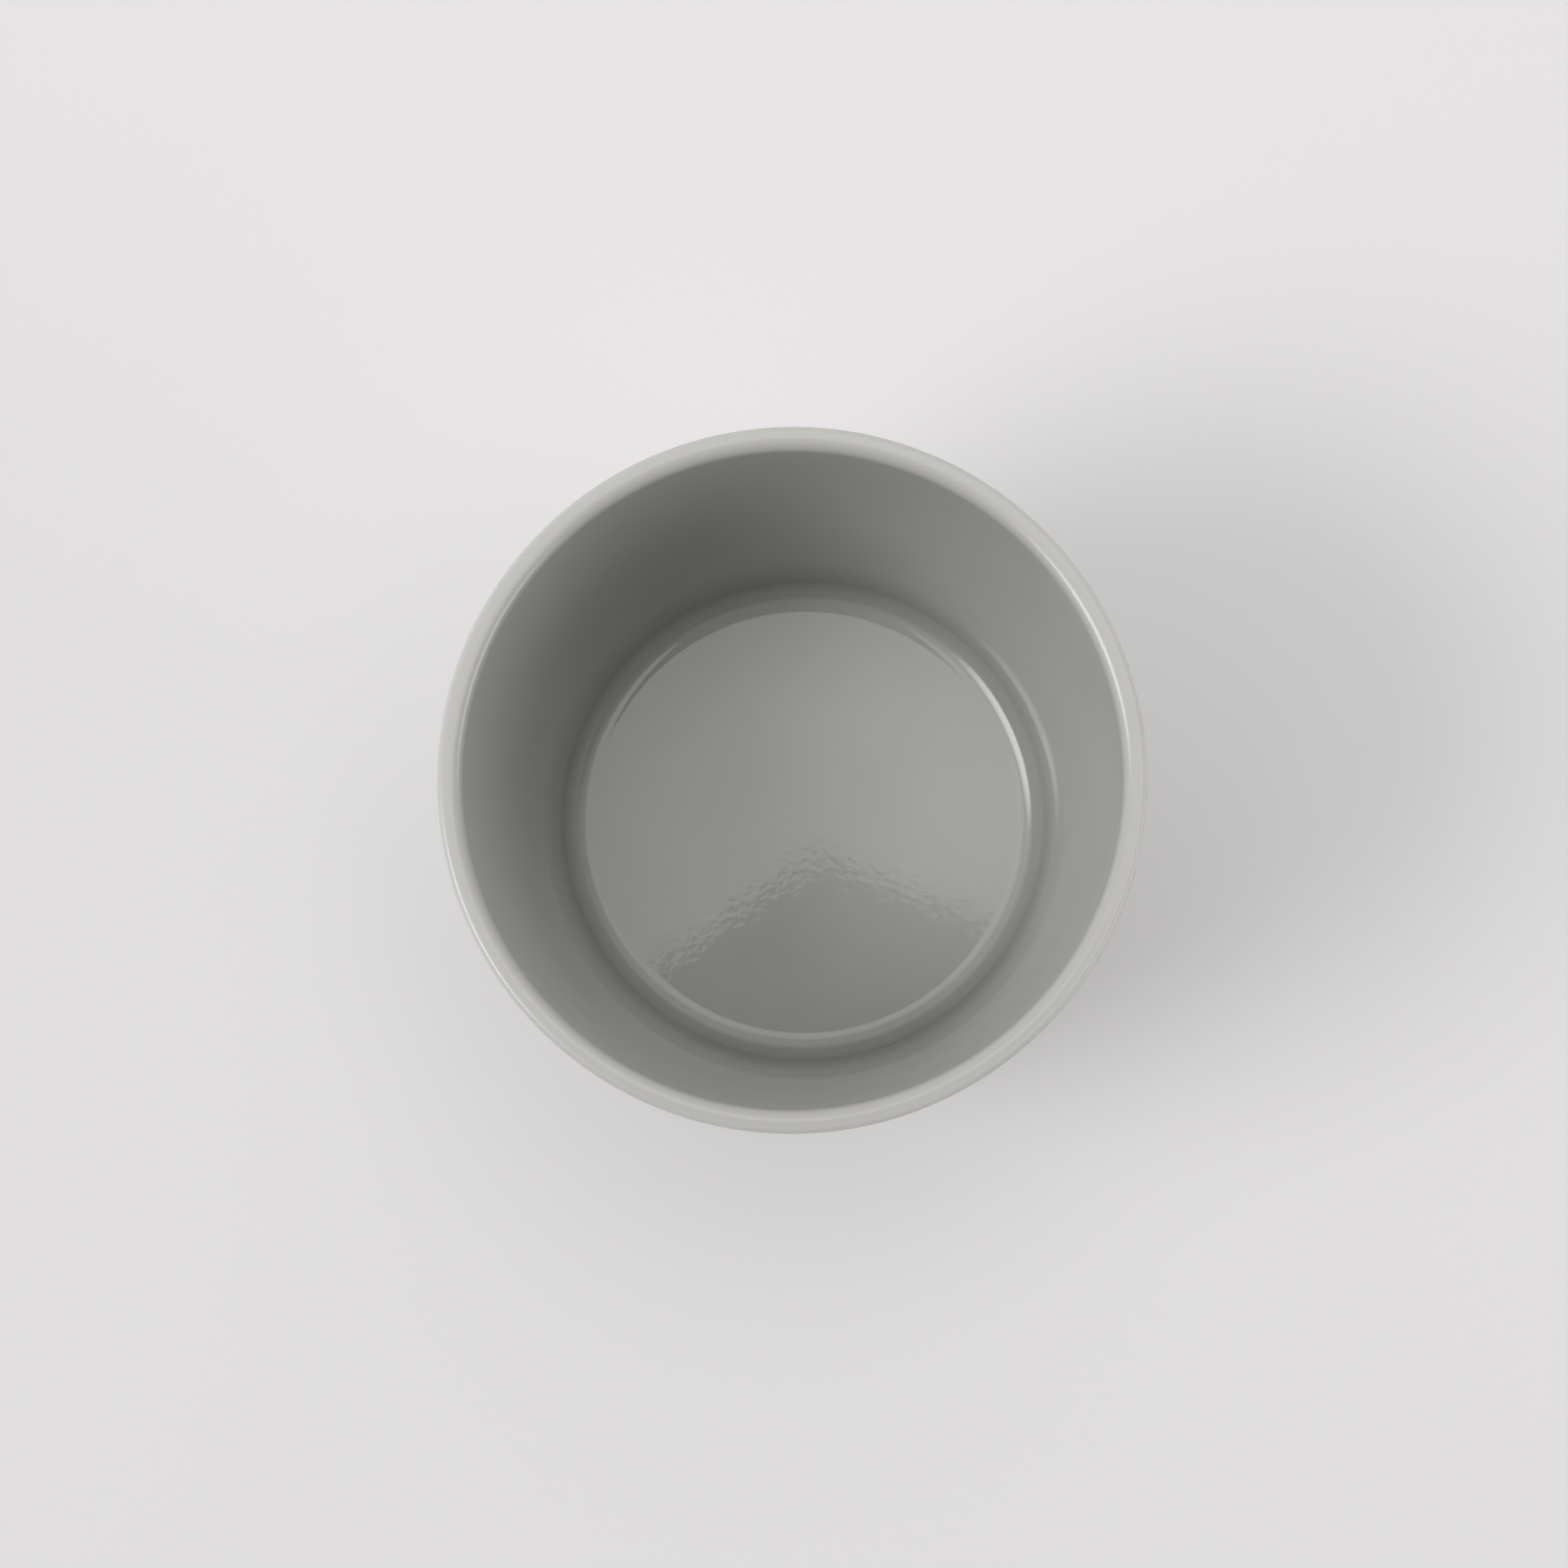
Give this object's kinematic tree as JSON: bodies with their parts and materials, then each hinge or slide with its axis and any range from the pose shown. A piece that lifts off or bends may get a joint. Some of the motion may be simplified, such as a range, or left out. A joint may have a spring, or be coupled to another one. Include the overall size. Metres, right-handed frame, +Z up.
{
  "type": "tea cup",
  "caption": "Handleless tapered tea cup with a round lip, a flat floor and a bare foot ring, glazed pale grey-green inside and out.",
  "frame": {"origin": "centre of the foot ring's resting plane", "axes": "+Z up along the axis of revolution; the cup is round, so X and Y are free"},
  "size_m": [0.08, 0.08, 0.057],
  "materials": {
    "bisque": "matte, unglazed",
    "glaze": "glossy, with a faint orange peel"
  },
  "bodies": {
    "root": {"clay_body": "bisque", "glaze_coat": "glaze", "base_glaze": "glaze"}
  },
  "joints": []
}
